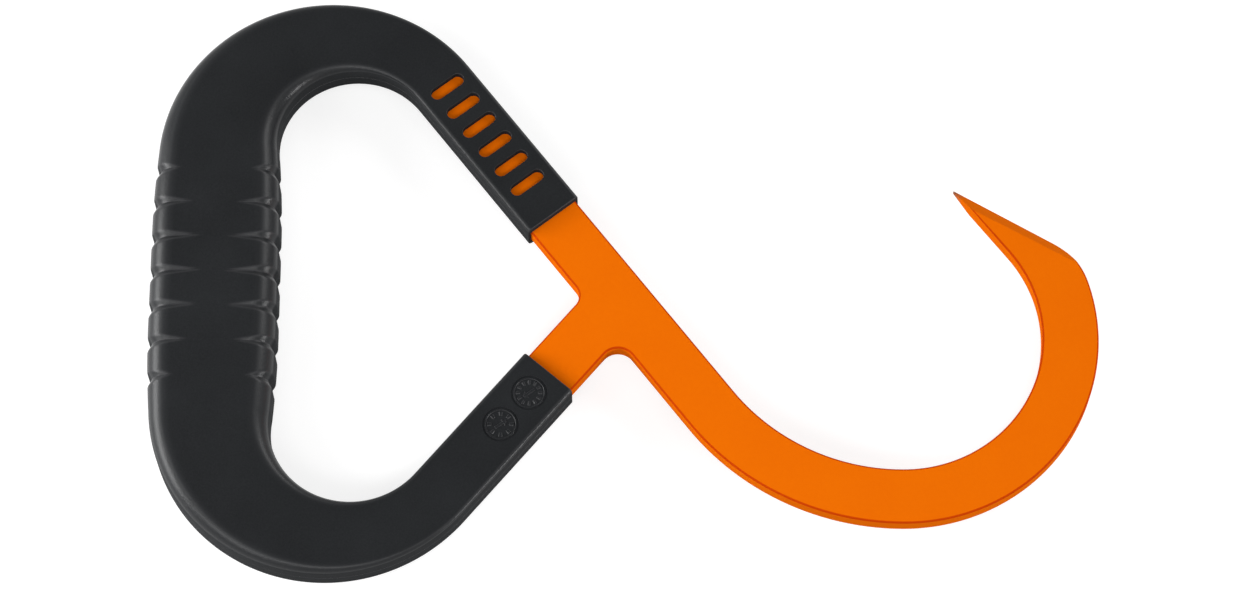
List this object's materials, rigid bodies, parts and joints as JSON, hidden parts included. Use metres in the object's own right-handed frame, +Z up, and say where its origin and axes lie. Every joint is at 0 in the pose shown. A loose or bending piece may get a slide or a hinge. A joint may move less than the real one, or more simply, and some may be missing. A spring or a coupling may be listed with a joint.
{
  "type": "log hook",
  "caption": "Hand log hook: flat steel hook with a ground point, its looped shank held between two moulded half shells screwed together as a D-shaped grip.",
  "frame": {"origin": "on the ground under the middle of the whole hook, lying on the back of its grip", "axes": "+X along the length, from the grip to the hook's bowl; +Y across, towards the hook's point; +Z up, out of the front of the flat steel"},
  "size_m": [0.2835, 0.1826, 0.022],
  "materials": {
    "orange_powder_coat": "smooth satin orange powder coat on steel",
    "black_moulded_plastic": "matte black moulded plastic with fine spark-eroded grain",
    "black_zinc_screw": "black zinc-plated steel"
  },
  "bodies": {
    "root": {"hook_plate": "orange_powder_coat", "front_handle_shell": "black_moulded_plastic", "rear_handle_shell": "black_moulded_plastic", "handle_screws": "black_zinc_screw"}
  },
  "joints": []
}
